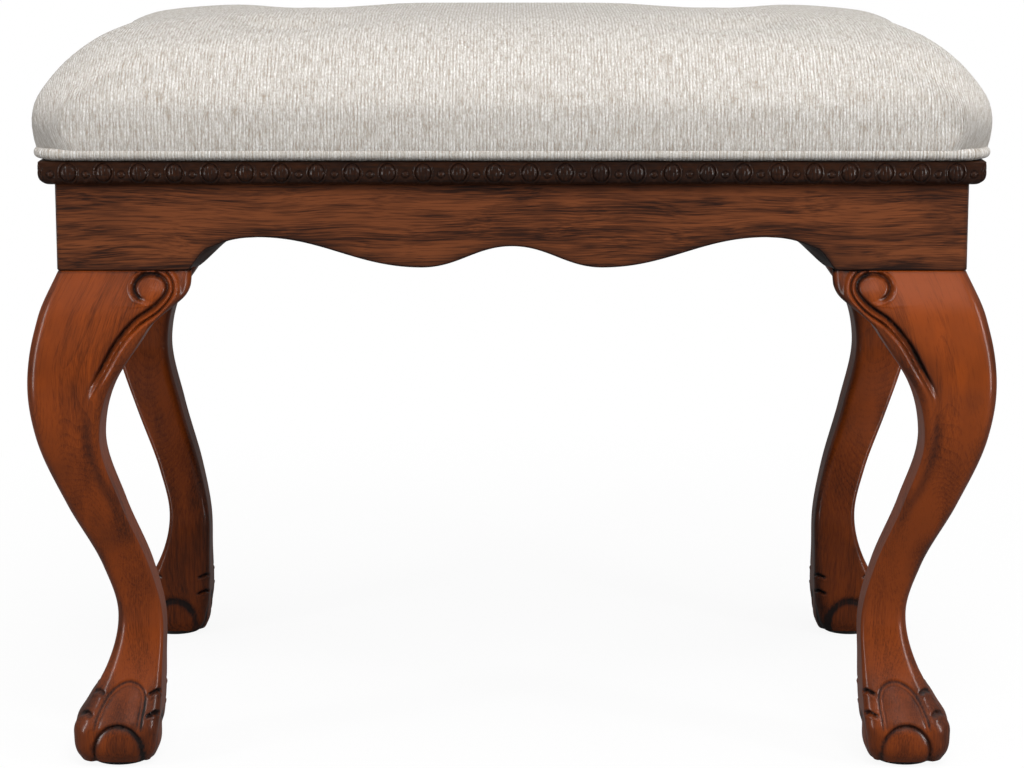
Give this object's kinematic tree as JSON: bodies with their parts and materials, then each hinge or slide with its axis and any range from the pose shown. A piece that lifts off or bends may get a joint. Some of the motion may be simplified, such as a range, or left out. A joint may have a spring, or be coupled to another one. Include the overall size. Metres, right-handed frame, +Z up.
{
  "type": "vanity stool",
  "caption": "Vanity stool with a tufted, welted fabric seat, a scalloped apron under a carved moulding and cabriole legs on ball-and-claw feet.",
  "frame": {"origin": "on the floor, under the middle of the seat", "axes": "+X to the right along the seat's length, +Y to the back, +Z up; the front faces -Y"},
  "size_m": [0.61, 0.418, 0.487],
  "materials": {
    "apron_wood": "mahogany stain with a dark glaze, satin lacquer",
    "moulding_wood": "dark glazed carving, satin lacquer",
    "leg_wood": "red-brown mahogany stain, satin lacquer",
    "block_wood": "unfinished poplar",
    "plywood": "unfinished",
    "seat_fabric": "ribbed oatmeal chenille",
    "foam": "open-cell foam",
    "wadding": "polyester wadding",
    "cotton_cord": "twisted cotton",
    "dust_cloth": "black non-woven cloth",
    "glide_plastic": "matt, near black",
    "anchor_plastic": "matt, off-white",
    "zinc_steel": "bright zinc"
  },
  "bodies": {
    "root": {"front_apron": "apron_wood", "front_moulding": "moulding_wood", "back_apron": "apron_wood", "back_moulding": "moulding_wood", "left_apron": "apron_wood", "left_moulding": "moulding_wood", "right_apron": "apron_wood", "right_moulding": "moulding_wood", "front_left_leg": "leg_wood", "front_left_front_ear": "leg_wood", "front_left_side_ear": "leg_wood", "front_left_corner_block": "block_wood", "front_left_glide": "glide_plastic", "front_left_button": "seat_fabric", "front_right_leg": "leg_wood", "front_right_front_ear": "leg_wood", "front_right_side_ear": "leg_wood", "front_right_corner_block": "block_wood", "front_right_glide": "glide_plastic", "front_right_button": "seat_fabric", "back_left_leg": "leg_wood", "back_left_front_ear": "leg_wood", "back_left_side_ear": "leg_wood", "back_left_corner_block": "block_wood", "back_left_glide": "glide_plastic", "back_left_button": "seat_fabric", "back_right_leg": "leg_wood", "back_right_front_ear": "leg_wood", "back_right_side_ear": "leg_wood", "back_right_corner_block": "block_wood", "back_right_glide": "glide_plastic", "back_right_button": "seat_fabric", "glide_nails": "zinc_steel", "hanger_bolts": "zinc_steel", "bolt_washers": "zinc_steel", "bolt_nuts": "zinc_steel", "corner_block_screws": "zinc_steel", "seat_screws": "zinc_steel", "moulding_brads": "zinc_steel", "cover_staples": "zinc_steel", "dust_cover_staples": "zinc_steel", "seat_board": "plywood", "foam_pad": "foam", "wadding": "wadding", "seat_cover": "seat_fabric", "welt_cover": "seat_fabric", "welt_cord": "cotton_cord", "tuft_twines": "cotton_cord", "tuft_anchors": "anchor_plastic", "dust_cover": "dust_cloth"}
  },
  "joints": []
}
